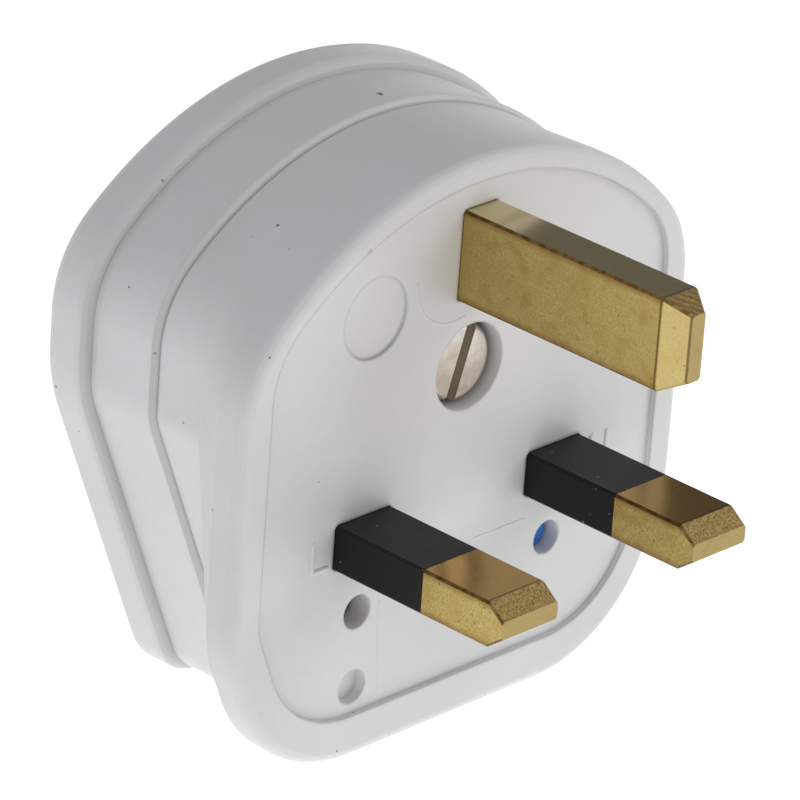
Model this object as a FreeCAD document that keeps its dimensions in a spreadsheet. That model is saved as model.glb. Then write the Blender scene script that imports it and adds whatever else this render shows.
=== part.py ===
import FreeCAD, Part
import math
import os
import re

import Sketcher
from FreeCAD import Placement, Rotation, Vector

# A rewirable, fused three pin plug. Every piece is drawn face on: x to the right, y up from
# the foot that the plug stands on, z out of the pin face towards the pin tips, with z = 0 on
# the sunk panel of that face. One shared placement then stands the plug on its foot.

# Driving sizes, in millimetres and degrees
SIZES = {
    # front plate of the base, a rounded D
    "plate_width": 51.6,
    "plate_top": 50.2,
    "plate_crown": 32.0,
    "plate_shoulder": 10.0,
    "plate_bend_height": 13.4,
    "plate_bend": 14.0,
    "plate_corner": 13.8,
    "plate_depth": 2.4,
    "plate_edge": 1.2,
    "blend_depth": 4.1,
    # sunk panel inside the raised rim
    "rim_height": 0.5,
    "rim_side": 3.0,
    "rim_top": 1.9,
    "rim_foot": 4.0,
    "panel_crown": 30.4,
    "panel_shoulder": 8.0,
    "panel_bend_height": 15.0,
    "panel_bend": 6.0,
    "panel_corner": 10.0,
    # shield outline of the cover's rear flange
    "flange_width": 50.8,
    "flange_top": 51.7,
    "flange_crown": 33.0,
    "flange_shoulder": 10.5,
    "flange_bend": 16.0,
    "flange_corner": 5.0,
    "flange_depth": 4.6,
    "flange_front_edge": 1.0,
    "flange_back_edge": 1.5,
    "bend_height": 29.6,
    "taper": 22.7,
    # middle tier of the cover and the base behind its front plate
    "tier_step": 1.1,
    "tier_foot": 0.4,
    "tier_bend": 8.0,
    "tier_corner": 4.5,
    "tier_edge": 0.45,
    "base_step": 0.5,
    "base_foot": 0.8,
    "base_bend": 4.0,
    "base_corner": 4.2,
    # depths from the panel, and walls
    "base_depth": 11.3,
    "body_depth": 23.0,
    "floor": 3.0,
    "base_wall": 2.2,
    "cover_wall": 1.5,
    "cover_back": 2.4,
    "lip_height": 1.2,
    "lip_clearance": 0.1,
    # pins
    "pin_height": 19.8,
    "pin_pitch": 22.2,
    "earth_rise": 22.2,
    "blade_width": 6.35,
    "blade_thick": 3.97,
    "blade_reach": 18.0,
    "blade_end": 1.56,
    "blade_taper": 1.6,
    "earth_width": 3.97,
    "earth_tall": 7.93,
    "earth_reach": 23.0,
    "earth_end_width": 1.46,
    "earth_end_tall": 5.76,
    "earth_taper": 2.1,
    "pin_edge": 0.22,
    "pin_clearance": 0.05,
    "sleeve_reach": 9.3,
    "sleeve_wall": 0.55,
    "sleeve_root": 1.5,
    # terminals
    "terminal_width": 8.6,
    "terminal_tall": 8.0,
    "terminal_depth": 7.0,
    "terminal_edge": 0.4,
    "wire_hole": 3.4,
    "wire_hole_depth": 3.0,
    "live_head_tall": 9.7,
    "live_head_depth": 2.5,
    "live_block_width": 4.6,
    "live_block_tall": 7.4,
    "live_block_across": 18.5,
    "live_block_rise": 14.9,
    "tongue_depth": 1.2,
    "tongue_tall": 4.8,
    "tongue_root": 0.8,
    "terminal_screw": 2.9,
    "terminal_screw_length": 4.2,
    "terminal_screw_head": 4.2,
    "terminal_screw_head_depth": 1.6,
    "screw_clearance": 0.05,
    "screw_slot": 0.8,
    # cartridge fuse and its clips
    "fuse_across": 11.1,
    "fuse_rise": 7.7,
    "fuse_length": 25.4,
    "fuse_width": 6.35,
    "fuse_cap_length": 5.6,
    "fuse_cap_wall": 0.35,
    "clip_length": 4.4,
    "clip_wall": 0.5,
    "clip_clearance": 0.03,
    "clip_foot_width": 3.2,
    "clip_foot": 0.5,
    "clip_sink": 0.3,
    "clip_mouth": 4.6,
    "clip_mouth_drop": 1.4,
    "clip_inset": 0.4,
    # cover screw, its insert and its retaining washer
    "screw_rise": 12.0,
    "screw_recess": 7.6,
    "screw_head": 6.7,
    "screw_head_sink": 0.9,
    "screw_head_depth": 3.3,
    "screw_head_edge": 0.45,
    "screw_head_slot": 1.1,
    "screw_head_slot_depth": 1.2,
    "screw_head_turn": 17.5,
    "screw_thread": 3.9,
    "screw_length": 13.2,
    "screw_hole": 4.4,
    "screw_boss": 10.6,
    "retainer_width": 7.2,
    "retainer_depth": 0.8,
    "retainer_clearance": 0.1,
    "insert_width": 5.6,
    "insert_length": 7.2,
    "insert_sink": 0.4,
    "cover_boss": 8.8,
    "boss_gap": 0.1,
    # sight holes, moulding mark and the coloured markers behind two of the holes
    "sight_hole": 3.0,
    "sight_hole_drop": 6.6,
    "blind_hole_drop": 13.4,
    "blind_hole_depth": 1.0,
    "mark_width": 7.0,
    "mark_across": 11.3,
    "mark_rise": 19.3,
    "mark_depth": 0.25,
    "marker_width": 4.0,
    "marker_tall": 3.8,
    "marker_depth": 1.2,
    "marker_drop": 6.9,
    # cord inlet and the two gripping jaws above it
    "inlet_width": 8.4,
    "jaw_gap": 6.4,
    "jaw_width": 3.2,
    "jaw_tall": 8.0,
    "jaw_depth": 9.5,
    "jaw_lift": 1.0,
    "jaw_groove": 0.9,
    "jaw_groove_pitch": 2.0,
    "jaw_edge": 0.3,
}

doc = FreeCAD.newDocument("three_pin_plug")
sheet = doc.addObject("Spreadsheet::Sheet", "sizes")
for row, (alias, number) in enumerate(SIZES.items(), start=1):
    sheet.set("A%d" % row, alias)
    sheet.set("B%d" % row, str(number))
    sheet.setAlias("B%d" % row, alias)
doc.recompute()

# Places that several pieces share, as formulas on the sheet
LIVE_X = "-pin_pitch / 2"
NEUTRAL_X = "pin_pitch / 2"
EARTH_Y = "(pin_height + earth_rise)"
SCREW_Y = "(pin_height + screw_rise)"
SCREW_SEAT = "(screw_head_sink + screw_head_depth)"
TERMINAL_BACK = "(floor + terminal_depth)"
HALF_TAPER = "tan(taper / 2)"
FUSE_X = "-fuse_across"
FUSE_MIDDLE = "(pin_height + fuse_rise)"
CLIP_SEAT = "(floor + live_head_depth)"
CLIP_OUTER = "(fuse_width / 2 + clip_clearance + clip_wall)"
FUSE_BACK = "(%s + clip_foot - clip_sink + %s)" % (CLIP_SEAT, CLIP_OUTER)
COVER_FLOOR = "(body_depth - cover_back)"
LIVE_BLOCK_Y = "(pin_height + live_block_rise)"

# Shares of a radius that turn a square edge into three bevels, 22.5 degrees apart
MIDDLE_BEVEL = "(2 - sqrt(2))"
OUTER_BEVEL = "(tan(22.5) - tan(11.25))"


def on_sheet(formula):
    """The formula with each size's name pointing at its cell."""
    return re.sub(r"[a-z_]+", lambda word: "sizes." * (word.group() in SIZES) + word.group(), formula)


def value(formula):
    """The formula's number for the sizes as they are now."""
    return float(sheet.evalExpression(on_sheet(formula)))


def bind(thing, path, formula):
    thing.setExpression(path, on_sheet(formula))


# Sketches

def new_body(label):
    """An empty piece, turned so that the plug stands on its foot with its pins along -Y."""
    body = doc.addObject("PartDesign::Body", label)
    body.Label = label
    body.Placement = Placement(Vector(0, 0, 0), Rotation(Vector(1, 0, 0), 90))
    bind(body, "Placement.Base.y", "(rim_height + earth_reach - body_depth) / 2")
    return body


def new_sketch(body, name, offset="0", role="XY_Plane"):
    """A sketch on one of the piece's own planes, moved along that plane's normal."""
    sketch = body.newObject("Sketcher::SketchObject", body.Label + "_" + name)
    plane = next(feature for feature in body.Origin.OriginFeatures if feature.Role == role)
    sketch.AttachmentSupport = (plane, [""])
    sketch.MapMode = "FlatFace"
    bind(sketch, "AttachmentOffset.Base.z", offset)
    return sketch


def hold(sketch, kind, *where, size):
    """A dimension of the sketch, tied to the sheet."""
    number = value(size)
    if kind == "Angle":
        number = math.radians(number)
    index = sketch.addConstraint(Sketcher.Constraint(kind, *where, number))
    bind(sketch, "Constraints[%d]" % index, size)


def line(start, end):
    return Part.LineSegment(Vector(*start, 0), Vector(*end, 0))


def arc(centre, radius, first, last):
    """An anticlockwise arc between two angles in degrees."""
    circle = Part.Circle(Vector(*centre, 0), Vector(0, 0, 1), radius)
    return Part.ArcOfCircle(circle, math.radians(first), math.radians(last))


def smooth_loop(sketch, edges):
    """A closed anticlockwise loop whose edges run into each other without a corner."""
    ids = [sketch.addGeometry(edge, False) for edge in edges]
    for this, following in zip(ids, ids[1:] + ids[:1]):
        sketch.addConstraint(Sketcher.Constraint("Tangent", this, 2, following, 1))
    return ids


def shield(body, name, offset, outline):
    """An outline with a round crown, upright sides, a lower taper and a flat foot."""
    sketch = new_sketch(body, name, offset)
    numbers = {key: value(formula) for key, formula in outline.items()}
    half, top, crown, shoulder = (numbers[key] for key in ("half", "top", "crown", "shoulder"))
    bend_height, bend, foot, corner = (numbers[key] for key in ("bend_height", "bend", "foot", "corner"))
    taper = SIZES["taper"]
    slope = math.radians(taper)
    crown_y = top - crown
    shoulder_x = half - shoulder
    shoulder_y = crown_y + math.sqrt((crown - shoulder) ** 2 - shoulder_x ** 2)
    lean = math.degrees(math.atan2(shoulder_y - crown_y, shoulder_x))
    crown_end = (crown * math.cos(math.radians(lean)), crown_y + crown * math.sin(math.radians(lean)))
    bend_reach = bend * math.tan(slope / 2)
    bend_top = (half, bend_height + bend_reach)
    bend_low = (half - bend_reach * math.sin(slope), bend_height - bend_reach * math.cos(slope))
    foot_x = half - (bend_height - foot) * math.tan(slope)
    corner_reach = corner * math.tan(math.pi / 4 - slope / 2)
    corner_top = (foot_x + corner_reach * math.sin(slope), foot + corner_reach * math.cos(slope))
    corner_low = (foot_x - corner_reach, foot)

    def left(point):
        return (-point[0], point[1])

    bend_centre = (half - bend, bend_top[1])
    corner_centre = (corner_low[0], foot + corner)
    shoulder_centre = (shoulder_x, shoulder_y)
    side_top = (half, shoulder_y)
    edges = [
        line(left(corner_low), corner_low),
        arc(corner_centre, corner, -90, -taper),
        line(corner_top, bend_low),
        arc(bend_centre, bend, -taper, 0),
        line(bend_top, side_top),
        arc(shoulder_centre, shoulder, 0, lean),
        arc((0, crown_y), crown, lean, 180 - lean),
        arc(left(shoulder_centre), shoulder, 180 - lean, 180),
        line(left(side_top), left(bend_top)),
        arc(left(bend_centre), bend, 180, 180 + taper),
        line(left(bend_low), left(corner_top)),
        arc(left(corner_centre), corner, 180 + taper, 270),
    ]
    (foot_id, corner_r, slope_r, bend_r, side_r, shoulder_r,
     crown_id, shoulder_l, side_l, bend_l, slope_l, corner_l) = smooth_loop(sketch, edges)
    for right_arc, left_arc in ((corner_r, corner_l), (bend_r, bend_l), (shoulder_r, shoulder_l)):
        sketch.addConstraint(Sketcher.Constraint("Equal", right_arc, left_arc))
    for side in (side_r, side_l):
        sketch.addConstraint(Sketcher.Constraint("Vertical", side))
    sketch.addConstraint(Sketcher.Constraint("Symmetric", foot_id, 1, foot_id, 2, -2))
    sketch.addConstraint(Sketcher.Constraint("PointOnObject", crown_id, 3, -2))
    sketch.addConstraint(Sketcher.Constraint("Horizontal", side_l, 2, side_r, 1))
    hold(sketch, "Radius", crown_id, size=outline["crown"])
    hold(sketch, "Radius", shoulder_r, size=outline["shoulder"])
    hold(sketch, "Radius", bend_r, size=outline["bend"])
    hold(sketch, "Radius", corner_r, size=outline["corner"])
    hold(sketch, "DistanceY", -1, 1, crown_id, 3, size="%(top)s - (%(crown)s)" % outline)
    hold(sketch, "DistanceY", -1, 1, foot_id, 1, size=outline["foot"])
    hold(sketch, "DistanceX", -1, 1, side_r, 1, size=outline["half"])
    hold(sketch, "DistanceX", side_l, 2, side_r, 1, size="2 * (%(half)s)" % outline)
    bend_start = "%(bend_height)s + (%(bend)s) * " % outline + HALF_TAPER
    hold(sketch, "DistanceY", -1, 1, side_r, 1, size=bend_start)
    hold(sketch, "Angle", slope_r, size="90 - taper")
    return sketch


def inset(outline, by):
    """The same shield drawn a constant distance further in."""
    shrinking = ("half", "top", "crown", "shoulder", "bend", "corner")
    smaller = {key: "%s - %s" % (outline[key], by) for key in shrinking}
    smaller["foot"] = "%s + %s" % (outline["foot"], by)
    smaller["bend_height"] = "%s + %s * %s" % (outline["bend_height"], by, HALF_TAPER)
    return smaller


def bevelled_box(body, name, offset, x, y, wide, tall, edge, role="XY_Plane"):
    """A rectangle with its four corners cut off, about its middle (x, y)."""
    sketch = new_sketch(body, name, offset, role)
    middle_x, middle_y, cut = value(x), value(y), value(edge)
    right, top = middle_x + value(wide) / 2, middle_y + value(tall) / 2
    left, low = middle_x - value(wide) / 2, middle_y - value(tall) / 2
    corners = [
        (left + cut, low),
        (right - cut, low),
        (right, low + cut),
        (right, top - cut),
        (right - cut, top),
        (left + cut, top),
        (left, top - cut),
        (left, low + cut),
    ]
    ids = [sketch.addGeometry(line(*ends), False) for ends in zip(corners, corners[1:] + corners[:1])]
    for this, following in zip(ids, ids[1:] + ids[:1]):
        sketch.addConstraint(Sketcher.Constraint("Coincident", this, 2, following, 1))
    foot, side_r, head, side_l = ids[::2]
    for kind, sides in (("Horizontal", (foot, head)), ("Vertical", (side_r, side_l))):
        for side in sides:
            sketch.addConstraint(Sketcher.Constraint(kind, side))
    # Each cut takes the same length off a flat side and an upright one
    for flat_end, upright_end in (((foot, 2), (side_r, 1)), ((head, 1), (side_r, 2))):
        hold(sketch, "DistanceX", *flat_end, *upright_end, size=edge)
    for upright_end, flat_end in (((side_l, 1), (head, 2)), ((side_l, 2), (foot, 1))):
        hold(sketch, "DistanceX", *upright_end, *flat_end, size=edge)
    for flat_end, upright_end in (((foot, 2), (side_r, 1)), ((foot, 1), (side_l, 2))):
        hold(sketch, "DistanceY", *flat_end, *upright_end, size=edge)
    for upright_end, flat_end in (((side_r, 2), (head, 1)), ((side_l, 1), (head, 2))):
        hold(sketch, "DistanceY", *upright_end, *flat_end, size=edge)
    hold(sketch, "DistanceX", side_l, 1, side_r, 1, size=wide)
    hold(sketch, "DistanceY", foot, 1, head, 1, size=tall)
    hold(sketch, "DistanceX", -1, 1, side_l, 1, size="%s - (%s) / 2" % (x, wide))
    hold(sketch, "DistanceY", -1, 1, foot, 1, size="%s - (%s) / 2" % (y, tall))
    return sketch


def discs(body, name, offset, places, width, role="XY_Plane"):
    """Circles of one diameter about each of the places."""
    sketch = new_sketch(body, name, offset, role)
    for x, y in places:
        circle = Part.Circle(Vector(value(x), value(y), 0), Vector(0, 0, 1), value(width) / 2)
        round_id = sketch.addGeometry(circle, False)
        hold(sketch, "DistanceX", -1, 1, round_id, 3, size=x)
        hold(sketch, "DistanceY", -1, 1, round_id, 3, size=y)
        hold(sketch, "Diameter", round_id, size=width)
    return sketch


# Features

def pad(sketch, length, away=False):
    """Material grown along the sketch plane's normal, or the other way."""
    body = sketch.getParentGeoFeatureGroup()
    feature = body.newObject("PartDesign::Pad", sketch.Name + "_pad")
    feature.Profile = sketch
    feature.Reversed = away
    bind(feature, "Length", length)
    doc.recompute()
    return feature


def pocket(sketch, length, away=False):
    """Material cut against the sketch plane's normal, or along it; the volume has to fall."""
    body = sketch.getParentGeoFeatureGroup()
    before = body.Tip.Shape.Volume
    feature = body.newObject("PartDesign::Pocket", sketch.Name + "_pocket")
    feature.Profile = sketch
    feature.Reversed = away
    bind(feature, "Length", length)
    doc.recompute()
    if not feature.Shape.Volume < before:
        raise RuntimeError(feature.Name + " cuts nothing")
    return feature


def loft(profile, section):
    """Straight-sided material between two like outlines."""
    body = profile.getParentGeoFeatureGroup()
    feature = body.newObject("PartDesign::AdditiveLoft", profile.Name + "_loft")
    feature.Profile = profile
    feature.Sections = [section]
    feature.Ruled = True
    doc.recompute()
    return feature


def edges_at(body, height):
    """The names of the edges that lie flat at one height above the panel."""
    level = value(height)
    names = []
    for number, edge in enumerate(body.Tip.Shape.Edges, start=1):
        box = edge.BoundBox
        if abs(box.ZMin - level) < 1e-4 and abs(box.ZMax - level) < 1e-4:
            names.append("Edge%d" % number)
    return names


def bevel(body, heights, size):
    """Every edge at the heights cut back by one length on both of its faces."""
    rough = body.Tip
    names = [name for height in heights for name in edges_at(body, height)]
    feature = body.newObject("PartDesign::Chamfer", body.Label + "_bevel")
    feature.Base = (rough, names)
    bind(feature, "Size", size)
    doc.recompute()
    return feature


def round_off(body, height, radius, inwards="-"):
    """Every edge at one height rounded by a middle bevel and a flatter one on either side of it."""
    middle = "%s * %s" % (MIDDLE_BEVEL, radius)
    bevel(body, [height], middle)
    bevel(body, [height, "%s %s %s" % (height, inwards, middle)], "%s * %s" % (OUTER_BEVEL, radius))


# Outlines of the housing
PLATE = {
    "half": "plate_width / 2",
    "top": "plate_top",
    "crown": "plate_crown",
    "shoulder": "plate_shoulder",
    "bend_height": "plate_bend_height",
    "bend": "plate_bend",
    "foot": "0",
    "corner": "plate_corner",
}
PANEL = {
    "half": "plate_width / 2 - rim_side",
    "top": "plate_top - rim_top",
    "crown": "panel_crown",
    "shoulder": "panel_shoulder",
    "bend_height": "panel_bend_height",
    "bend": "panel_bend",
    "foot": "rim_foot",
    "corner": "panel_corner",
}
FLANGE = {
    "half": "flange_width / 2",
    "top": "flange_top",
    "crown": "flange_crown",
    "shoulder": "flange_shoulder",
    "bend_height": "bend_height",
    "bend": "flange_bend",
    "foot": "0",
    "corner": "flange_corner",
}
TIER = inset(FLANGE, "tier_step") | {
    "bend_height": "bend_height",
    "bend": "tier_bend",
    "foot": "tier_foot",
    "corner": "tier_corner",
}
BODY = inset(FLANGE, "(tier_step + base_step)") | {
    "bend_height": "bend_height",
    "bend": "base_bend",
    "foot": "base_foot",
    "corner": "base_corner",
}


def make_base():
    """The moulding that carries the pins: front plate, tapering walls, screw boss and holes."""
    body = new_body("base")
    wall_sketch = shield(body, "walls", "-base_depth", BODY)
    pad(wall_sketch, "base_depth - plate_depth - blend_depth")
    blend_back = shield(body, "blend_back", "-(plate_depth + blend_depth)", BODY)
    blend_front = shield(body, "blend_front", "-plate_depth", PLATE)
    loft(blend_back, blend_front)
    pad(shield(body, "plate", "-plate_depth", PLATE), "plate_depth + rim_height")
    round_off(body, "rim_height", "plate_edge")
    pocket(shield(body, "panel", "rim_height", PANEL), "rim_height")
    # Lip that locates the cover, then the hollow inside the walls
    lip = inset(TIER, "(cover_wall + lip_clearance)")
    pad(shield(body, "lip", "-base_depth", lip), "lip_height", away=True)
    hollow = shield(body, "hollow", "-(base_depth + lip_height)", inset(BODY, "base_wall"))
    pocket(hollow, "base_depth + lip_height - floor", away=True)
    # Screw boss with its counterbores and through hole
    screw_place = [("0", SCREW_Y)]
    pad(discs(body, "boss", "-base_depth", screw_place, "screw_boss"), "base_depth - floor / 2")
    pocket(discs(body, "recess", "rim_height", screw_place, "screw_recess"), "rim_height + " + SCREW_SEAT)
    pocket(discs(body, "screw_way", "0", screw_place, "screw_hole"), "base_depth")
    seat_width = "retainer_width + 2 * retainer_clearance"
    retainer_seat = discs(body, "retainer_seat", "-base_depth", screw_place, seat_width)
    pocket(retainer_seat, "retainer_depth + retainer_clearance", away=True)
    # Ways for the three pins
    slack = " + 2 * pin_clearance"
    gap_edge = "pin_edge + pin_clearance"
    blade_gap = ("blade_width" + slack, "blade_thick" + slack, gap_edge)
    earth_gap = ("earth_width" + slack, "earth_tall" + slack, gap_edge)
    for name, x, y, gap in (
        ("live_way", LIVE_X, "pin_height", blade_gap),
        ("neutral_way", NEUTRAL_X, "pin_height", blade_gap),
        ("earth_way", "0", EARTH_Y, earth_gap),
    ):
        pocket(bevelled_box(body, name, "0", x, y, *gap), "floor")
    # Sight holes, the blind hole below the live one, and a moulding mark
    sight_y = "pin_height - sight_hole_drop"
    pocket(discs(body, "sight_holes", "0", [(LIVE_X, sight_y), (NEUTRAL_X, sight_y)], "sight_hole"), "floor")
    blind_place = [(LIVE_X, "pin_height - blind_hole_drop")]
    pocket(discs(body, "blind_hole", "0", blind_place, "sight_hole"), "blind_hole_depth")
    mark_place = [("-mark_across", "pin_height + mark_rise")]
    pocket(discs(body, "mark", "0", mark_place, "mark_width"), "mark_depth")
    # Half of the cord inlet, through the lower wall
    inlet = discs(body, "inlet", "0", [("0", "-base_depth")], "inlet_width", role="XZ_Plane")
    pocket(inlet, "base_foot + 2 * base_wall")
    return body


def make_cover():
    """The shell behind the base: wide rear flange, middle tier, hollow and screw boss."""
    body = new_body("cover")
    pad(shield(body, "flange", "-body_depth", FLANGE), "flange_depth")
    round_off(body, "-body_depth", "flange_back_edge", inwards="+")
    round_off(body, "flange_depth - body_depth", "flange_front_edge")
    tier = shield(body, "tier", "flange_depth - body_depth", TIER)
    pad(tier, "body_depth - flange_depth - base_depth")
    bevel(body, ["-base_depth"], "tier_edge")
    hollow = shield(body, "hollow", "-base_depth", inset(TIER, "cover_wall"))
    pocket(hollow, COVER_FLOOR + " - base_depth")
    screw_place = [("0", SCREW_Y)]
    boss = discs(body, "boss", "-(base_depth + boss_gap)", screw_place, "cover_boss")
    pad(boss, "body_depth - cover_back / 2 - base_depth - boss_gap", away=True)
    insert_hole = discs(body, "insert_hole", "-(base_depth + boss_gap)", screw_place, "insert_width")
    pocket(insert_hole, "insert_sink + insert_length")
    inlet = discs(body, "inlet", "0", [("0", "-base_depth")], "inlet_width", role="XZ_Plane")
    pocket(inlet, "tier_foot + 2 * cover_wall")
    return body


# Sections of the live and neutral pins: bare, inside the sleeve and at the very tip
BLADE = ("blade_width", "blade_thick", "pin_edge")
NECK = ("blade_width - 2 * sleeve_wall", "blade_thick - 2 * sleeve_wall", "pin_edge")
TIP = ("blade_width", "blade_end", "pin_edge")


def blade(body, x):
    """A live or neutral pin's blade, thinner under its sleeve and tapered at its tip."""
    sleeve_end = "rim_height + sleeve_reach"
    bare_length = "blade_reach - blade_taper - sleeve_reach"
    taper_start = "rim_height + blade_reach - blade_taper"
    pad(bevelled_box(body, "root", "-floor", x, "pin_height", *BLADE), "floor - sleeve_root")
    pad(bevelled_box(body, "neck", "-sleeve_root", x, "pin_height", *NECK), "sleeve_root + " + sleeve_end)
    pad(bevelled_box(body, "bare", sleeve_end, x, "pin_height", *BLADE), bare_length)
    tip_low = bevelled_box(body, "tip_low", taper_start, x, "pin_height", *BLADE)
    tip_high = bevelled_box(body, "tip_high", "rim_height + blade_reach", x, "pin_height", *TIP)
    loft(tip_low, tip_high)


def terminal_block(body, x, y, wide, tall):
    """A brass block behind the floor, bored for the wire and for its clamping screw."""
    block = bevelled_box(body, "block", "-floor", x, y, wide, tall, "terminal_edge")
    pad(block, "terminal_depth", away=True)
    wire = discs(body, "wire_way", "-(%s + (%s) / 2)" % (y, tall), [(x, "-(floor + wire_hole_depth)")],
                 "wire_hole", role="XZ_Plane")
    pocket(wire, tall, away=True)
    way_width = "terminal_screw + 2 * screw_clearance"
    screw_way = discs(body, "screw_way", "-" + TERMINAL_BACK, [(x, y)], way_width)
    pocket(screw_way, "terminal_depth - wire_hole_depth", away=True)


def make_pins():
    """The three brass pins with what each carries behind the floor."""
    earth = new_body("earth_pin")
    full = ("earth_width", "earth_tall", "pin_edge")
    end = ("earth_end_width", "earth_end_tall", "pin_edge")
    taper_start = "rim_height + earth_reach - earth_taper"
    pad(bevelled_box(earth, "bare", "-floor", "0", EARTH_Y, *full), "floor + " + taper_start)
    tip_low = bevelled_box(earth, "tip_low", taper_start, "0", EARTH_Y, *full)
    tip_high = bevelled_box(earth, "tip_high", "rim_height + earth_reach", "0", EARTH_Y, *end)
    loft(tip_low, tip_high)
    terminal_block(earth, "0", EARTH_Y, "terminal_width", "terminal_tall")

    neutral = new_body("neutral_pin")
    blade(neutral, NEUTRAL_X)
    terminal_block(neutral, NEUTRAL_X, "pin_height", "terminal_width", "terminal_tall")

    live = new_body("live_pin")
    blade(live, LIVE_X)
    head_size = ("terminal_width", "live_head_tall", "terminal_edge")
    head = bevelled_box(live, "head", "-floor", LIVE_X, "pin_height", *head_size)
    pad(head, "live_head_depth", away=True)
    return [earth, neutral, live]


def make_sleeve(label, x):
    """A black insulating tube flush with the blade, rooted in the base."""
    body = new_body(label)
    length = "sleeve_root + rim_height + sleeve_reach"
    pad(bevelled_box(body, "outer", "-sleeve_root", x, "pin_height", *BLADE), length)
    pocket(bevelled_box(body, "inner", "-sleeve_root", x, "pin_height", *NECK), length, away=True)
    return body


def make_live_terminal():
    """The terminal on the far side of the fuse, with a tongue under the upper clip."""
    body = new_body("live_terminal")
    clip_y = "%s + fuse_length / 2 - clip_inset - clip_length / 2" % FUSE_MIDDLE
    tongue_right = "(clip_foot_width - fuse_across)"
    tongue_left = "(live_block_width / 2 - live_block_across - tongue_root)"
    tongue_x = "(%s + %s) / 2" % (tongue_left, tongue_right)
    tongue_size = ("%s - %s" % (tongue_right, tongue_left), "tongue_tall", "terminal_edge")
    tongue = bevelled_box(body, "tongue", "-" + CLIP_SEAT, tongue_x, clip_y, *tongue_size)
    pad(tongue, "tongue_depth")
    terminal_block(body, "-live_block_across", LIVE_BLOCK_Y, "live_block_width", "live_block_tall")
    return body


def make_terminal_screw(label, x, y):
    """A small slotted screw seated on the back of its terminal block."""
    body = new_body(label)
    head = discs(body, "head", "-" + TERMINAL_BACK, [(x, y)], "terminal_screw_head")
    pad(head, "terminal_screw_head_depth", away=True)
    pad(discs(body, "thread", "-" + TERMINAL_BACK, [(x, y)], "terminal_screw"), "terminal_screw_length")
    slot = bevelled_box(body, "slot", "-(%s + terminal_screw_head_depth)" % TERMINAL_BACK, x, y,
                       "screw_slot", "terminal_screw_head + screw_slot", "screw_slot / 4")
    pocket(slot, "terminal_screw_head_depth / 2", away=True)
    return body


def make_fuse():
    """The cartridge fuse: a ceramic tube with a metal cap on each end."""
    fuse_place = [(FUSE_X, "-" + FUSE_BACK)]
    tube_width = "fuse_width - 2 * fuse_cap_wall"
    tube = new_body("fuse_tube")
    tube_end = "-(%s + fuse_length / 2 - fuse_cap_wall)" % FUSE_MIDDLE
    tube_round = discs(tube, "round", tube_end, fuse_place, tube_width, role="XZ_Plane")
    pad(tube_round, "fuse_length - 2 * fuse_cap_wall")
    caps = []
    for label, end, inward in (
        ("fuse_cap_upper", "fuse_length / 2", True),
        ("fuse_cap_lower", "-fuse_length / 2", False),
    ):
        cap = new_body(label)
        wall_sign = "-" if inward else "+"
        pad(discs(cap, "round", "-(%s + %s)" % (FUSE_MIDDLE, end), fuse_place, "fuse_width", role="XZ_Plane"),
            "fuse_cap_length", away=not inward)
        cup = discs(cap, "cup", "-(%s + %s %s fuse_cap_wall)" % (FUSE_MIDDLE, end, wall_sign), fuse_place,
                    tube_width, role="XZ_Plane")
        pocket(cup, "fuse_cap_length", away=inward)
        caps.append(cap)
    return [tube] + caps


def make_clip(label, y):
    """A spring clip: a ring open at the back that grips the fuse cap, on a flat foot."""
    body = new_body(label)
    front = "-(%s - clip_length / 2)" % y
    fuse_place = [(FUSE_X, "-" + FUSE_BACK)]
    ring = discs(body, "ring", front, fuse_place, "2 * " + CLIP_OUTER, role="XZ_Plane")
    pad(ring, "clip_length", away=True)
    foot_size = ("clip_foot_width", "clip_length", "clip_foot / 2")
    foot = bevelled_box(body, "foot", "-" + CLIP_SEAT, FUSE_X, y, *foot_size)
    pad(foot, "clip_foot", away=True)
    inner = discs(body, "inner", front, fuse_place, "fuse_width + 2 * clip_clearance", role="XZ_Plane")
    pocket(inner, "clip_length")
    mouth_y = "-(%s + clip_mouth_drop + fuse_width / 2)" % FUSE_BACK
    mouth_size = ("clip_mouth", "fuse_width", "clip_wall / 2")
    mouth = bevelled_box(body, "mouth", front, FUSE_X, mouth_y, *mouth_size, role="XZ_Plane")
    pocket(mouth, "clip_length")
    return body


def make_cover_screw():
    """The captive slotted screw that pulls the cover onto the base from the pin face."""
    body = new_body("cover_screw")
    place = [("0", SCREW_Y)]
    pad(discs(body, "head", "-" + SCREW_SEAT, place, "screw_head"), "screw_head_depth")
    round_off(body, "-screw_head_sink", "screw_head_edge")
    pad(discs(body, "thread", "-" + SCREW_SEAT, place, "screw_thread"), "screw_length", away=True)
    slot_size = ("screw_head_slot", "screw_head + screw_head_slot", "screw_head_slot / 4")
    slot = bevelled_box(body, "slot", "-screw_head_sink", "0", "0", *slot_size)
    clockwise = Rotation(Vector(0, 0, -1), SIZES["screw_head_turn"])
    slot.AttachmentOffset = Placement(slot.AttachmentOffset.Base, clockwise)
    bind(slot, "AttachmentOffset.Base.y", SCREW_Y)
    bind(slot, "AttachmentOffset.Rotation.Angle", "screw_head_turn")
    pocket(slot, "screw_head_slot_depth")
    return body


def make_screw_fittings():
    """The retaining washer in the base's boss and the threaded insert in the cover's boss."""
    place = [("0", SCREW_Y)]
    thread_way = "screw_thread + 2 * screw_clearance"
    retainer = new_body("screw_retainer")
    pad(discs(retainer, "rim", "-base_depth", place, "retainer_width"), "retainer_depth")
    pocket(discs(retainer, "way", "-base_depth", place, thread_way), "retainer_depth", away=True)
    insert = new_body("cover_insert")
    insert_top = "-(base_depth + boss_gap + insert_sink)"
    pad(discs(insert, "round", insert_top, place, "insert_width"), "insert_length", away=True)
    pocket(discs(insert, "way", insert_top, place, thread_way), "insert_length")
    return [retainer, insert]


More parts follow.
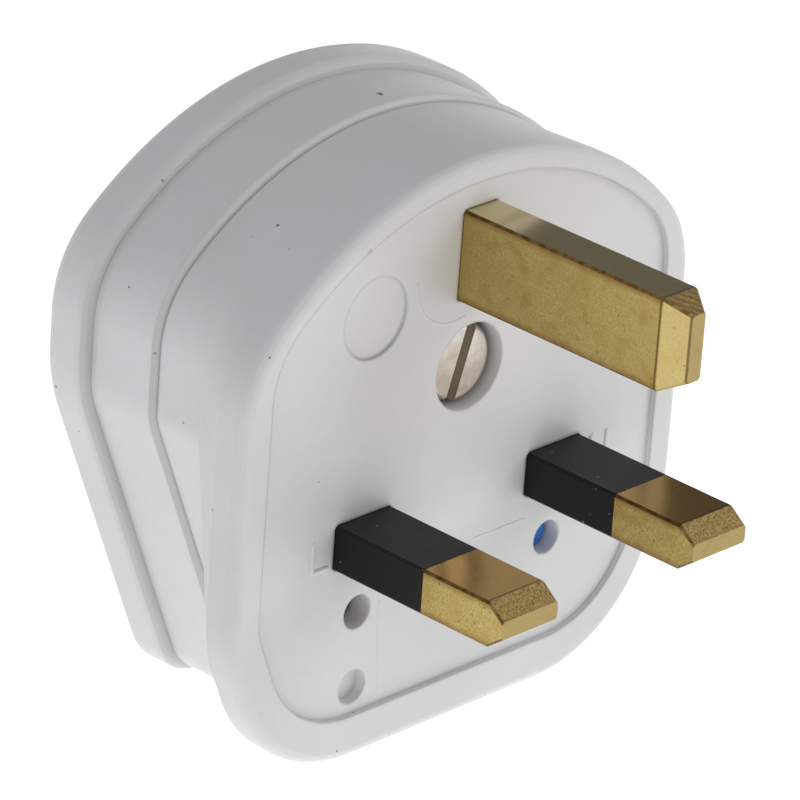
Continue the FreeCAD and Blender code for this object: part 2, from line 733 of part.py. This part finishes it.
def make_marker(label, x):
    """A coloured plastic plate behind a sight hole."""
    body = new_body(label)
    plate_size = ("marker_width", "marker_tall", "marker_depth / 2")
    plate = bevelled_box(body, "plate", "-floor", x, "pin_height - marker_drop", *plate_size)
    pad(plate, "marker_depth", away=True)
    return body


def make_jaw(label, side):
    """One of the two toothed jaws that grip the cord above its inlet."""
    body = new_body(label)
    middle = "%s * (jaw_gap + jaw_width) / 2" % side
    low = "(base_foot + base_wall + jaw_lift)"
    middle_y = low + " + jaw_tall / 2"
    block = bevelled_box(body, "block", "-floor", middle, middle_y, "jaw_width", "jaw_tall", "jaw_edge")
    pad(block, "jaw_depth", away=True)
    tooth_x = "%s * jaw_gap / 2" % side
    groove_size = ("jaw_groove", "jaw_groove", "jaw_groove / 4")
    for number, step in enumerate((-1, 0, 1), start=1):
        groove_y = "%s + %d * jaw_groove_pitch" % (middle_y, step)
        groove = bevelled_box(body, "groove_%d" % number, "-floor", tooth_x, groove_y, *groove_size)
        pocket(groove, "jaw_depth")
    return body


pieces = [make_base(), make_cover()]
pieces += make_pins()
pieces += [make_sleeve("live_sleeve", LIVE_X), make_sleeve("neutral_sleeve", NEUTRAL_X)]
pieces.append(make_live_terminal())
for label, screw_x, screw_y in (
    ("earth_terminal_screw", "0", EARTH_Y),
    ("neutral_terminal_screw", NEUTRAL_X, "pin_height"),
    ("live_terminal_screw", "-live_block_across", LIVE_BLOCK_Y),
):
    pieces.append(make_terminal_screw(label, screw_x, screw_y))
pieces += make_fuse()
for label, sign in (("fuse_clip_upper", "+"), ("fuse_clip_lower", "-")):
    reach = "(fuse_length / 2 - clip_inset - clip_length / 2)"
    pieces.append(make_clip(label, "(%s %s %s)" % (FUSE_MIDDLE, sign, reach)))
pieces.append(make_cover_screw())
pieces += make_screw_fittings()
pieces += [make_marker("live_marker", LIVE_X), make_marker("neutral_marker", NEUTRAL_X)]
pieces += [make_jaw("cord_grip_left", "-1"), make_jaw("cord_grip_right", "1")]

doc.recompute()
for thing in doc.Objects:
    if "Invalid" in thing.State or "Error" in thing.State:
        raise RuntimeError("%s did not recompute" % thing.Label)
for piece in pieces:
    if piece.Shape.isNull() or not piece.Shape.isValid() or len(piece.Shape.Solids) != 1:
        raise RuntimeError("%s is not one valid solid" % piece.Label)

os.makedirs("parts", exist_ok=True)
for piece in pieces:
    piece.Shape.exportStep("parts/%s.step" % piece.Label)
    print("%-24s %9.2f mm3" % (piece.Label, piece.Shape.Volume))
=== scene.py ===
import math

import bpy
import numpy as np
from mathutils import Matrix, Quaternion, Vector


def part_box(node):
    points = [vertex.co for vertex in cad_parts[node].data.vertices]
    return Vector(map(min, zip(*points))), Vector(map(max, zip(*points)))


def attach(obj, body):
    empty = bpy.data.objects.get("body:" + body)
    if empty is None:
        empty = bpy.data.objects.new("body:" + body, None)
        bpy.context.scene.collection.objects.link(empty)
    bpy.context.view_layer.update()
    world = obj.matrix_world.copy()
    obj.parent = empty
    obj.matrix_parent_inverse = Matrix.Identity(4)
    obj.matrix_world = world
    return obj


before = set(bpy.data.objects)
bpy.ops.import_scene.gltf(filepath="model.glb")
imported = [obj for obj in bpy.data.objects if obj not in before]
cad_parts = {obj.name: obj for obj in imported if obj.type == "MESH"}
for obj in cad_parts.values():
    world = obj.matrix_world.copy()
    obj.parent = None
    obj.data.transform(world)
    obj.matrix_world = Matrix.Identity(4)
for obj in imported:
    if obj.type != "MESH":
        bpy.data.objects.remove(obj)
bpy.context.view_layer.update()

# Housing: base and cover
# Two white urea mouldings, pulled together by one screw, with a satin skin from the polished mould.
# Handling has left soft grey clouds, a few dark specks, and dirt in the seam between the halves.
# Darkening in the screw recess, in the cover's valley and low on the cover's front is painted shade.

MM = 0.001


class Shade:
    """A shader socket. Arithmetic on it adds Math nodes, and add() makes any other node."""

    def __init__(self, tree, socket=None):
        self.tree = tree
        self.socket = socket

    def add(self, kind, settings=None, inputs=None, output=0):
        """One more node: its type, its settings, then the values or links of its sockets."""
        node = self.tree.nodes.new("ShaderNode" + kind)
        for name, setting in (settings or {}).items():
            setattr(node, name, setting)
        for name, given in (inputs or {}).items():
            if isinstance(given, Shade):
                self.tree.links.new(given.socket, node.inputs[name])
            else:
                node.inputs[name].default_value = given
        return Shade(self.tree, node.outputs[output] if node.outputs else None)

    def sums(self, operation, first, second):
        """One Math node on two values."""
        return self.add("Math", {"operation": operation}, {0: first, 1: second})

    def __add__(self, other):
        return self.sums("ADD", self, other)

    def __radd__(self, other):
        return self.sums("ADD", other, self)

    def __sub__(self, other):
        return self.sums("SUBTRACT", self, other)

    def __rsub__(self, other):
        return self.sums("SUBTRACT", other, self)

    def __mul__(self, other):
        return self.sums("MULTIPLY", self, other)

    def __rmul__(self, other):
        return self.sums("MULTIPLY", other, self)

    def __neg__(self):
        return self.sums("MULTIPLY", self, -1.0)

    def __abs__(self):
        return self.sums("ABSOLUTE", self, 0.0)

    def __or__(self, other):
        """The larger of the two values."""
        return self.sums("MAXIMUM", self, other)

    def wave(self):
        """A sine of this value, brought to 0 to 1."""
        return self.sums("SINE", self, 0.0) * 0.5 + 0.5

    def rise(self, low, high):
        """0 below low and 1 above high, with a smooth step between them."""
        inputs = {"Value": self, "From Min": low, "From Max": high}
        return self.add("MapRange", {"interpolation_type": "SMOOTHSTEP"}, inputs)

    def blend(self, first, second):
        """The first colour where this value is 0 and the second where it is 1."""
        return self.add("Mix", {"data_type": "RGBA"}, {0: self, 6: first, 7: second}, output=2)

    def noise(self, scale, detail=3.0):
        """Cloudy noise about 0.5, with this many features to the millimetre."""
        return self.add("TexNoise", inputs={"Vector": self, "Scale": scale, "Detail": detail})

    def stretched(self, x, y, z):
        """These coordinates multiplied axis by axis."""
        return self.add("VectorMath", {"operation": "MULTIPLY"}, {0: self, 1: (x, y, z)})

    def away_from(self, point):
        """Distance of these coordinates from a point."""
        return self.add("VectorMath", {"operation": "DISTANCE"}, {0: self, 1: point}, output="Value")

    def axes(self):
        """The three numbers of these coordinates."""
        return [self.add("SeparateXYZ", inputs={0: self}, output=axis) for axis in "XYZ"]


def colour(red, green, blue):
    """A colour as the eye reads it, 0 to 255, turned into light."""
    light = [((c / 255 + 0.055) / 1.055) ** 2.4 for c in (red, green, blue)]
    return (*light, 1.0)


def new_finish(name):
    """An empty material and the object coordinates that its patterns are drawn in, in millimetres."""
    material = bpy.data.materials.new(name)
    material.use_nodes = True
    material.node_tree.nodes.clear()
    place = Shade(material.node_tree).add("TexCoord", output="Object")
    return material, place.stretched(1 / MM, 1 / MM, 1 / MM)


def facing(place):
    """Which way the surface faces, as three numbers from -1 to 1 along x, y and z."""
    return place.add("TexCoord", output="Normal").axes()


def close_finish(material, **sockets):
    """The material's one shader, its sockets given as values or links, with _ for a space."""
    tree = Shade(material.node_tree)
    sockets = {name.replace("_", " "): given for name, given in sockets.items()}
    shader = tree.add("BsdfPrincipled", inputs=sockets)
    tree.add("OutputMaterial", inputs={"Surface": shader})
    return material


def dress(material, *names):
    """The finish on these pieces of the plug."""
    for name in names:
        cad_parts[name].material_slots[0].material = material


def bumpy(height, depth, **under):
    """A surface that rises by depth, in millimetres, where the height goes from 0 to 1."""
    return height.add("Bump", inputs={"Height": height, "Distance": depth * MM, "Strength": 1.0, **under})


SEAM_Y = 11.55
VALLEY_Y = 18.65
EDGE_WEAR = 0.45


def line_at(depth, where, half):
    """1 in a thin line at a depth from the pin face, and 0 beyond its half width."""
    return 1 - abs(depth - where).rise(half * 0.4, half)


def white_moulding(name, specks, dirt_and_shade_at, wear):
    """White plastic: faintly clouded, specked at the places given, darkened by seam dirt and by painted
    shade where its dirt and shade mask is 1, and with its edges worn round by wear, in millimetres."""
    material, place = new_finish(name)
    clouds = place.noise(0.06).rise(0.3, 0.7)
    mottle = place.noise(0.9).rise(0.3, 0.75)
    clean = clouds.blend(colour(227, 227, 228), colour(222, 222, 222))
    skin = (mottle * 0.12).blend(clean, colour(212, 211, 208))
    # Seam dirt and painted shade together, both darkening the skin toward a brown-grey.
    soil = dirt_and_shade_at(place)
    skin = soil.blend(skin, colour(98, 92, 84))
    for point, radius, darkness in specks:
        ragged = place.away_from(point) + (place.noise(6.0) - 0.5) * (radius * 1.2)
        speck = (1 - ragged.rise(radius * 0.6, radius * 1.2)) * darkness
        skin = speck.blend(skin, colour(66, 60, 54))
    sheen = 0.38 + mottle * 0.03 + clouds * 0.04 + soil * 0.3
    worn = place.add("Bevel", {"samples": 6}, {"Radius": wear * MM})
    relief = bumpy(place.noise(3.5) * 0.6 + place.noise(0.5) * 0.4, 0.0025, Normal=worn)
    return close_finish(material, Base_Color=skin, Roughness=sheen, Normal=relief)


SCREW_MIDDLE = (0.0, 0.0, 31.8)
RECESS_RADIUS = 3.8


def base_dirt_and_shade(place):
    """Dirt along the seam, and painted shade inside the screw recess."""
    _, depth, _ = place.axes()
    seam = 1 - (SEAM_Y - depth).rise(0.03, 0.16)
    from_screw = place.stretched(1.0, 0.0, 1.0).away_from(SCREW_MIDDLE)
    # Painted shade inside the screw recess.
    recess_shade = (1 - from_screw.rise(RECESS_RADIUS - 0.05, RECESS_RADIUS + 0.05)) * depth.rise(0.5, 1.4)
    return seam * 0.35 | recess_shade * 0.22


def cover_dirt_and_shade(place):
    """Dirt along the seam, painted shade in the valley, and a beige painted shadow low down on what faces
    the pins.
    """
    _, depth, height = place.axes()
    _, out, _ = facing(place)
    # Painted shadow of the base's plate, low down on the surfaces that face the pins.
    low_front_shade = (-out).rise(0.25, 0.9) * (1 - height.rise(33.0, 47.0))
    seam = line_at(depth, SEAM_Y, 0.16)
    # Painted shade in the valley's crease: a thin dark line and a soft band.
    valley_shade = line_at(depth, VALLEY_Y, 0.14) * 0.2 | line_at(depth, VALLEY_Y, 0.8) * 0.09
    return seam * 0.25 | valley_shade | low_front_shade * 0.27


# Each speck's place and radius in millimetres, and how dark it is
BASE_SPECKS = [
    ((-15.8, 7.3, 45.8), 0.14, 0.9), ((-17.2, 4.6, 45.1), 0.1, 0.45), ((-17.4, 8.5, 44.9), 0.1, 0.4),
    ((-23.8, 8.5, 30.5), 0.12, 0.6), ((-23.4, -0.1, 39.2), 0.11, 0.8), ((-25.7, 2.9, 25.6), 0.14, 0.8),
    ((-10.8, 0.1, 4.0), 0.12, 0.6), ((-12.8, -0.2, 1.3), 0.12, 0.7), ((-16.6, 0.2, 26.4), 0.1, 0.7),
    ((-13.1, -0.2, 45.5), 0.3, 0.25)]
COVER_SPECKS = [
    ((-17.4, 18.8, 46.1), 0.12, 0.7), ((-23.4, 15.8, 39.5), 0.12, 0.7), ((-24.9, 21.9, 29.0), 0.13, 0.8),
    ((-23.6, 20.4, 25.2), 0.08, 0.7), ((-24.1, 11.8, 35.4), 0.12, 0.6), ((1.7, 13.7, 50.6), 0.3, 0.95)]
base_white = white_moulding("base_white", BASE_SPECKS, base_dirt_and_shade, EDGE_WEAR)
cover_white = white_moulding("cover_white", COVER_SPECKS, cover_dirt_and_shade, EDGE_WEAR)
dress(base_white, "base", "cord_grip_left", "cord_grip_right")
dress(cover_white, "cover")


# Marks moulded on the pin face
# Terminal letters, a mould insert's witness lines and an ejector's ring stand a hair proud of the
# sunk panel, in the same white plastic, because the mould was engraved for them.

PANEL_Y = 0.25 * MM
mark_white = white_moulding("mark_white", [], base_dirt_and_shade, 0.0)
BEAD_SIDES = 12
BEAD_STEPS = 24


def tube_faces(count, sides):
    """Faces of a closed tube: a wall of quads from each ring to the next, and a cap at both ends."""
    start = np.arange(count - 1)[:, None] * sides
    here = start + np.arange(sides)
    beside = start + (np.arange(sides) + 1) % sides
    walls = np.stack([here, beside, beside + sides, here + sides], axis=-1).reshape(-1, 4)
    first = list(range(sides))[::-1]
    last = [(count - 1) * sides + step for step in range(sides)]
    return walls.tolist() + [first, last]


def added_piece(name, points, faces, finish):
    """A smooth piece that rides with the plug, its points in metres."""
    mesh = bpy.data.meshes.new(name)
    mesh.from_pydata(points.tolist(), [], faces)
    mesh.polygons.foreach_set("use_smooth", np.ones(len(mesh.polygons), bool))
    mesh.materials.append(finish)
    piece = bpy.data.objects.new(name, mesh)
    bpy.context.scene.collection.objects.link(piece)
    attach(piece, "root")


def bead(path, width, height):
    """A half-round bead along a path of (x, z) points on the panel, as vertices and faces.

    Each ring of the bead is an ellipse across the path: its middle is the path, its half axes are
    width / 2 along the panel and height out of it, and both shrink as a half circle at the ends.
    """
    path = np.asarray(path, float)
    leg = np.linalg.norm(np.diff(path, axis=0), axis=1)
    run = np.concatenate([[0.0], np.cumsum(leg)])
    along = np.linspace(0.0, run[-1], BEAD_STEPS)
    middle = np.stack([np.interp(along, run, path[:, axis]) for axis in (0, 1)], axis=1)
    ahead = np.gradient(middle, axis=0)
    ahead /= np.linalg.norm(ahead, axis=1, keepdims=True)
    across = np.stack([-ahead[:, 1], ahead[:, 0]], axis=1)
    to_end = np.minimum(along, run[-1] - along) / (width / 2)
    swell = np.sqrt(1 - (1 - np.clip(to_end, 0.02, 1.0)) ** 2)
    turn = np.linspace(0.0, 2 * np.pi, BEAD_SIDES, endpoint=False)
    side = swell[:, None] * np.cos(turn) * width / 2
    out = swell[:, None] * np.sin(turn) * height
    rings = np.empty((BEAD_STEPS, BEAD_SIDES, 3))
    rings[:, :, 0] = middle[:, None, 0] + across[:, None, 0] * side
    rings[:, :, 1] = PANEL_Y - out
    rings[:, :, 2] = middle[:, None, 1] + across[:, None, 1] * side
    return rings.reshape(-1, 3), tube_faces(BEAD_STEPS, BEAD_SIDES)


def moulded_mark(name, strokes, width, height):
    """Beads of one width and height joined in one piece, with all sizes in millimetres."""
    points, faces = [], []
    for stroke in strokes:
        rings, walls = bead(np.asarray(stroke) * MM, width * MM, height * MM)
        start = sum(len(part) for part in points)
        faces += [[start + corner for corner in wall] for wall in walls]
        points.append(rings)
    added_piece(name, np.concatenate(points), faces, mark_white)


LETTER_SIZE = np.array((1.9, 2.8))
LETTER_STROKE = 0.5
LETTER_RISE = 0.14


def moulded_letter(name, strokes, corner):
    """A letter drawn in a unit square, at its lower left corner on the panel."""
    laid_out = [np.array(corner) + np.array(stroke) * LETTER_SIZE for stroke in strokes]
    moulded_mark(name, laid_out, LETTER_STROKE, LETTER_RISE)


LETTER_L = [[(0, 1), (0, 0)], [(0, 0), (1, 0)]]
LETTER_N = [[(0, 0), (0, 1)], [(0, 1), (1, 0)], [(1, 0), (1, 1)]]
moulded_letter("letter_l", LETTER_L, (-16.7, 18.3))
moulded_letter("letter_n", LETTER_N, (15.7, 18.5))
WITNESS_LINES = [[(-8.6, 13.4), (-7.9, 4.8)], [(2.0, 15.7), (8.4, 15.7)]]
moulded_mark("witness_lines", WITNESS_LINES, width=0.26, height=0.025)
EJECTOR_MIDDLE = np.array((-2.3, 40.8))
EJECTOR_RADIUS = 4.5
sweep = np.radians(np.linspace(178.0, 290.0, 40))
ejector_arc = EJECTOR_MIDDLE + EJECTOR_RADIUS * np.stack([np.cos(sweep), np.sin(sweep)], axis=1)
moulded_mark("ejector_ring", [ejector_arc], width=0.24, height=0.04)


# Pins and other brass
# Solid brass bar, cropped, milled to a taper at the tips and tumbled, so its sides are finely grained
# and its tops polished. It has dulled, with brown tarnish along the edges; the brown on the lower pins'
# tops and on each taper's upward slope is painted shade.

DULL_BROWN = colour(76, 52, 24)
BRIGHT_CUT = colour(226, 204, 146)


def bare_brass(place, grit):
    """Grained brass: its colour, the grain, and the dark pits in it, all weaker with less grit."""
    grain = place.noise(5.6, 2.0).rise(0.28, 0.76)
    patches = place.noise(0.33).rise(0.3, 0.7)
    scratches = place.stretched(1.0, 0.06, 1.0).noise(3.8, 2.0).rise(0.56, 0.7)
    grain = (grain - 0.5) * grit + 0.5
    metal = grain.blend(colour(166, 144, 82), colour(204, 184, 122))
    metal = (patches * 0.4).blend(metal, colour(176, 148, 84))
    metal = (scratches * 0.12).blend(metal, colour(214, 196, 138))
    amber = place.noise(0.55).rise(0.5, 0.72)
    metal = (amber * 0.4).blend(metal, colour(164, 124, 62))
    pits = 1 - place.add("TexVoronoi", inputs={"Vector": place, "Scale": 1.6}).rise(0.1, 0.24)
    return metal, grain, pits * place.noise(0.8).rise(0.48, 0.62) * grit


def pin_brass(name, middle, half, taper, top_tone, grit, flat_sided, milled):
    """A pin's brass: middle and half sizes in x and z, depths of its taper, top's tone, sides' grit,
    whether its sides run flat to the tip, and how strongly its taper's upper slope is milled.

    Sides are grained and tops polished. Tarnish lies on the bevelled edges, in a ragged band below
    them, in thin lines round the taper, and in milled stripes on the taper's upper slope. The whole
    upper slope is browned as painted shade, and a brown top's tone is painted shade.
    """
    material, place = new_finish(name)
    x, depth, height = place.axes()
    across, out, up = facing(place)
    side = abs(across).rise(0.93, 0.98)
    metal, grain, pits = bare_brass(place, grit)
    tip = (-out).rise(0.15, 0.3)
    top = up.rise(0.8, 0.95) * (1 - tip)
    slope = tip * up.rise(0.2, 0.5)
    bevel = (abs(across) * abs(up)).rise(0.25, 0.42) * (0.82 + place.noise(1.2).rise(0.35, 0.65) * 0.16)
    below_edge = half[1] - abs(height - middle[1])
    ragged = below_edge + (place.noise(0.7) - 0.5) * 0.6
    creep = (1 - ragged.rise(0.15, 0.85)) * side
    rings = (line_at(depth, taper[0], 0.14) | line_at(depth, taper[1], 0.14)) * (1 - side * flat_sided)
    stripes = ((x * 0.8 + depth + place.noise(0.7) * 1.2) * 9.0).wave().rise(0.3, 0.8) * slope * milled
    # Painted shade over the taper's upward slope, broken up by the grain.
    slope = slope * (0.5 + grain * 0.45)
    # The top's tone: pale on the earth pin; the lower pins' brown is painted shade.
    metal = (top * 0.75).blend(metal, top_tone)
    metal = (tip * 0.35).blend(metal, BRIGHT_CUT)
    metal = (creep * 0.65).blend(metal, colour(138, 92, 46))
    dull = pits * 0.5 * (1 - top * 0.7) | bevel | rings * 0.7 | stripes * 0.85 | slope
    metal = dull.blend(metal, DULL_BROWN)
    polish = 0.33 + grain * 0.1 + dull * 0.12 - top * 0.19
    relief = bumpy(grain * (1 - top * 0.85), 0.009)
    return close_finish(material, Base_Color=metal, Metallic=1.0, Roughness=polish, Normal=relief)


def inner_brass(name):
    """Brass that stays clean inside the shell."""
    material, place = new_finish(name)
    metal, grain, pits = bare_brass(place, 0.6)
    metal = (pits * 0.3).blend(metal, DULL_BROWN)
    polish = 0.32 + grain * 0.1
    relief = bumpy(grain, 0.008)
    return close_finish(material, Base_Color=metal, Metallic=1.0, Roughness=polish, Normal=relief)


EARTH_MIDDLE = (0.0, 42.0)
EARTH_HALF = (1.985, 3.965)
EARTH_TAPER = (-20.95, -23.15)
LOWER_PIN_X = 11.1
LOWER_PIN_Z = 19.8
LOWER_HALF = (3.175, 1.985)
LOWER_TAPER = (-16.45, -18.15)
PALE_TOP = colour(204, 190, 154)
# Painted shade for the lower pins' tops.
BROWN_TOP = colour(148, 110, 48)
finish = pin_brass("earth_brass", EARTH_MIDDLE, EARTH_HALF, EARTH_TAPER, PALE_TOP,
                   grit=0.65, flat_sided=0, milled=1.0)
dress(finish, "earth_pin")
for pin, pin_x in (("live", -LOWER_PIN_X), ("neutral", LOWER_PIN_X)):
    finish = pin_brass(pin + "_brass", (pin_x, LOWER_PIN_Z), LOWER_HALF, LOWER_TAPER, BROWN_TOP,
                       grit=0.9, flat_sided=1, milled=0.15)
    dress(finish, pin + "_pin")
dress(inner_brass("inner_brass"), "live_terminal", "fuse_clip_upper", "fuse_clip_lower", "cover_insert")


# Sleeves and screw retainer
# Black nylon moulded onto the necks of the live and neutral pins, flush with the bare brass.
# Satin, with a few pale dust grains caught on it and grey rub marks along the length.

material, place = new_finish("black_nylon")
rubs = place.stretched(1.0, 0.12, 1.0).noise(1.8, 2.0).rise(0.5, 0.8)
grains = place.add("TexVoronoi", inputs={"Vector": place, "Scale": 0.9})
dust = (1 - grains.rise(0.05, 0.11)) * place.noise(1.5).rise(0.5, 0.6)
black = (rubs * 0.25).blend(colour(16, 16, 17), colour(25, 25, 26))
black = (dust * 0.8).blend(black, colour(150, 148, 144))
satin = 0.44 + rubs * 0.06 + dust * 0.3
relief = bumpy(place.noise(4.2) * 0.9 + rubs * 0.1, 0.005)
close_finish(material, Base_Color=black, Roughness=satin, Normal=relief, Specular_IOR_Level=0.2)
dress(material, "live_sleeve", "neutral_sleeve", "screw_retainer")


# Cover screw, terminal screws and fuse caps
# Turned steel with a nickel plate that has dulled to a warm grey. Faint turning rings show on the
# heads, and the driver slot of the cover screw is packed with brown dirt.

SLOT_TOP_Y = 1.25
SLOT_LOW_Y = 1.7


def nickel(name, slot_dirt):
    """Dulled nickel plate with turning rings about the cover screw's axis."""
    material, place = new_finish(name)
    _, depth, _ = place.axes()
    _, out, _ = facing(place)
    radius = place.stretched(1.0, 0.0, 1.0).away_from(SCREW_MIDDLE)
    rings = (radius * 9.0).wave()
    bloom = place.noise(0.7).rise(0.3, 0.7)
    spots = place.noise(2.6, 2.0).rise(0.6, 0.72)
    plate = bloom.blend(colour(212, 206, 197), colour(192, 185, 174))
    plate = (spots * 0.35).blend(plate, colour(150, 140, 122))
    packed = depth.rise(SLOT_TOP_Y, SLOT_LOW_Y) * (0.75 + (-out).rise(0.2, 0.8) * 0.25)
    dirt = packed * slot_dirt
    soil = place.noise(0.8).blend(colour(186, 174, 152), colour(164, 150, 126))
    plate = dirt.blend(plate, soil)
    polish = 0.32 + bloom * 0.1 + spots * 0.12 + dirt * 0.4
    relief = bumpy(rings * 0.4 + spots * 0.6, 0.004)
    metallic = 1.0 - dirt
    return close_finish(material, Base_Color=plate, Metallic=metallic, Roughness=polish, Normal=relief)


dress(nickel("screw_nickel", 0.95), "cover_screw")
inner_nickel = nickel("inner_nickel", 0.1)
dress(inner_nickel, "earth_terminal_screw", "neutral_terminal_screw", "live_terminal_screw")
dress(inner_nickel, "fuse_cap_upper", "fuse_cap_lower")


# Fuse tube
# The cartridge fuse's barrel: a pressed and fired tube of unglazed white ceramic, with a slightly
# sandy skin. Its two metal caps are crimped on and held by the clips.

material, place = new_finish("fuse_ceramic")
sand = place.noise(3.0).rise(0.3, 0.7)
body = sand.blend(colour(226, 222, 212), colour(206, 200, 188))
relief = bumpy(sand, 0.01)
close_finish(material, Base_Color=body, Roughness=0.6 + sand * 0.15, Normal=relief)
dress(material, "fuse_tube")


# Markers behind the sight holes
# Small snapped-in plates of coloured plastic, brown for live and blue for neutral, that tell the
# terminals apart from the pin side. A peg on each plate reaches up into its hole.


def marker_plastic(name, dark, light):
    """Satin coloured plastic, a little uneven in its dye."""
    material, place = new_finish(name)
    dye = place.noise(0.9).rise(0.3, 0.7)
    body = dye.blend(dark, light)
    relief = bumpy(place.noise(3.5), 0.006)
    return close_finish(material, Base_Color=body, Roughness=0.42 + dye * 0.1, Normal=relief)


PEG_RADIUS = 1.35
PEG_ROUND = 0.3
PEG_SIDES = 32
PEG_ROUND_STEPS = 5


def sight_peg(name, marker, middle, near, plastic):
    """A round peg from a marker's plate up into its sight hole, with its end at the depth near.

    Each ring is a circle about the hole's axis: full radius at the plate and up the side, then a
    quarter circle's worth of smaller rings round the end's edge, closed by two flat caps.
    """
    turn = np.linspace(0.0, 2 * np.pi, PEG_SIDES, endpoint=False)
    quarter = np.linspace(0.0, np.pi / 2, PEG_ROUND_STEPS)
    plate_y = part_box(marker)[0][1] / MM
    radius = np.concatenate([[PEG_RADIUS], PEG_RADIUS - PEG_ROUND * (1 - np.cos(quarter))])
    depth = np.concatenate([[plate_y], near + PEG_ROUND * (1 - np.sin(quarter))])
    rings = np.empty((len(radius), PEG_SIDES, 3))
    rings[:, :, 0] = middle[0] + radius[:, None] * np.cos(turn)
    rings[:, :, 1] = depth[:, None]
    rings[:, :, 2] = middle[1] + radius[:, None] * np.sin(turn)
    added_piece(name, rings.reshape(-1, 3) * MM, tube_faces(len(radius), PEG_SIDES), plastic)


brown_plastic = marker_plastic("brown_plastic", colour(96, 70, 54), colour(120, 92, 72))
blue_plastic = marker_plastic("blue_plastic", colour(52, 112, 200), colour(72, 134, 216))
dress(brown_plastic, "live_marker")
dress(blue_plastic, "neutral_marker")
SIGHT_HOLE_Z = 13.2
LIVE_PEG_Y = 2.1
NEUTRAL_PEG_Y = 1.5
live_hole = (-LOWER_PIN_X, SIGHT_HOLE_Z)
neutral_hole = (LOWER_PIN_X, SIGHT_HOLE_Z)
sight_peg("live_peg", "live_marker", live_hole, LIVE_PEG_Y, brown_plastic)
sight_peg("neutral_peg", "neutral_marker", neutral_hole, NEUTRAL_PEG_Y, blue_plastic)


# Studio
# A white table that bounces light up under the plug, a dim soft room above it, one wide soft lamp
# in front of the pin face, and a grey card behind the plug that is seen only in reflections.

SQUARE = np.array([(-1, -1, 0), (1, -1, 0), (1, 1, 0), (-1, 1, 0)])
TABLE_REACH = 3.0
table_mesh = bpy.data.meshes.new("table")
table_mesh.from_pydata((SQUARE * TABLE_REACH).tolist(), [], [(0, 1, 2, 3)])
table = bpy.data.objects.new("table", table_mesh)
bpy.context.scene.collection.objects.link(table)
TABLE_GLOW = 0.68
TABLE_SEEN_GLOW = 0.1
material, place = new_finish("table_white")
paint = place.noise(0.008).blend(colour(232, 232, 232), colour(236, 236, 236))
matt = place.add("BsdfDiffuse", inputs={"Color": paint})
watched = place.add("LightPath", output="Is Camera Ray")
glow = place.add("Emission", inputs={"Strength": TABLE_GLOW + watched * TABLE_SEEN_GLOW})
both = place.add("AddShader", inputs={0: matt, 1: glow})
place.add("OutputMaterial", inputs={"Surface": both})
table_mesh.materials.append(material)

ROOM_LIGHT = 0.41
ROOM_TINT = (0.975, 0.98, 1.0, 1.0)
world = bpy.data.worlds.new("room")
world.use_nodes = True
world.node_tree.nodes.clear()
bpy.context.scene.world = world
room = Shade(world.node_tree)
seen = room.add("LightPath", output="Is Camera Ray")
mirrored = room.add("LightPath", output="Is Glossy Ray")
through = room.add("LightPath", output="Is Transmission Ray")
white = seen | mirrored | through
strength = ROOM_LIGHT + white * (1.0 - ROOM_LIGHT)
tint = white.blend(ROOM_TINT, (1.0, 1.0, 1.0, 1.0))
sky = room.add("Background", inputs={"Color": tint, "Strength": strength})
room.add("OutputWorld", inputs={"Surface": sky})

PLUG_MIDDLE = Vector((0.0, 0.0, 26 * MM))


def soft_lamp(name, offset, size, power):
    """A square soft lamp at an offset from the plug's middle, facing it."""
    data = bpy.data.lights.new(name, "AREA")
    data.size = size
    data.energy = power
    lamp = bpy.data.objects.new(name, data)
    bpy.context.scene.collection.objects.link(lamp)
    lamp.location = PLUG_MIDDLE + Vector(offset)
    lamp.rotation_mode = "QUATERNION"
    lamp.rotation_quaternion = (-Vector(offset)).to_track_quat("-Z", "Y")


soft_lamp("face_lamp", offset=(0.55, -0.6, 0.45), size=0.6, power=1.7)

CARD_OFFSET = Vector((0.67, 0.615, 0.5))
CARD_HALF = 0.32
card_mesh = bpy.data.meshes.new("dark_card")
card_middle = PLUG_MIDDLE + CARD_OFFSET
card_turn = (PLUG_MIDDLE - card_middle).to_track_quat("Z", "Y")
card_corners = [card_middle + card_turn @ Vector(corner) for corner in SQUARE * CARD_HALF]
card_mesh.from_pydata(card_corners, [], [(0, 1, 2, 3)])
card = bpy.data.objects.new("dark_card", card_mesh)
bpy.context.scene.collection.objects.link(card)
card.visible_camera = False
card.visible_diffuse = False
card.visible_shadow = False
material, place = new_finish("card_black")
felt = place.noise(0.03).blend(colour(110, 109, 106), colour(120, 119, 116))
close_finish(material, Base_Color=felt, Roughness=0.9)
card_mesh.materials.append(material)


# Camera
# A long lens to the left of the pin face and above it, tipped a little anticlockwise, as the
# picture was taken.

CAMERA_PLACE = Vector((-356.68, -321.21, 249.89)) * MM
CAMERA_LOOK = Vector((0.667733, 0.615352, -0.418897))
CAMERA_ROLL = math.radians(4.2537)
SENSOR_WIDTH = 36.0
LENS_LENGTH = 295.6
camera_data = bpy.data.cameras.new("camera")
camera_data.sensor_width = SENSOR_WIDTH
camera_data.lens = LENS_LENGTH
camera_data.clip_start = 10 * MM
camera = bpy.data.objects.new("camera", camera_data)
bpy.context.scene.collection.objects.link(camera)
camera.location = CAMERA_PLACE
camera.rotation_mode = "QUATERNION"
level = CAMERA_LOOK.to_track_quat("-Z", "Y")
camera.rotation_quaternion = Quaternion(CAMERA_LOOK, -CAMERA_ROLL) @ level
bpy.context.scene.camera = camera
bpy.context.scene.view_settings.view_transform = "Standard"
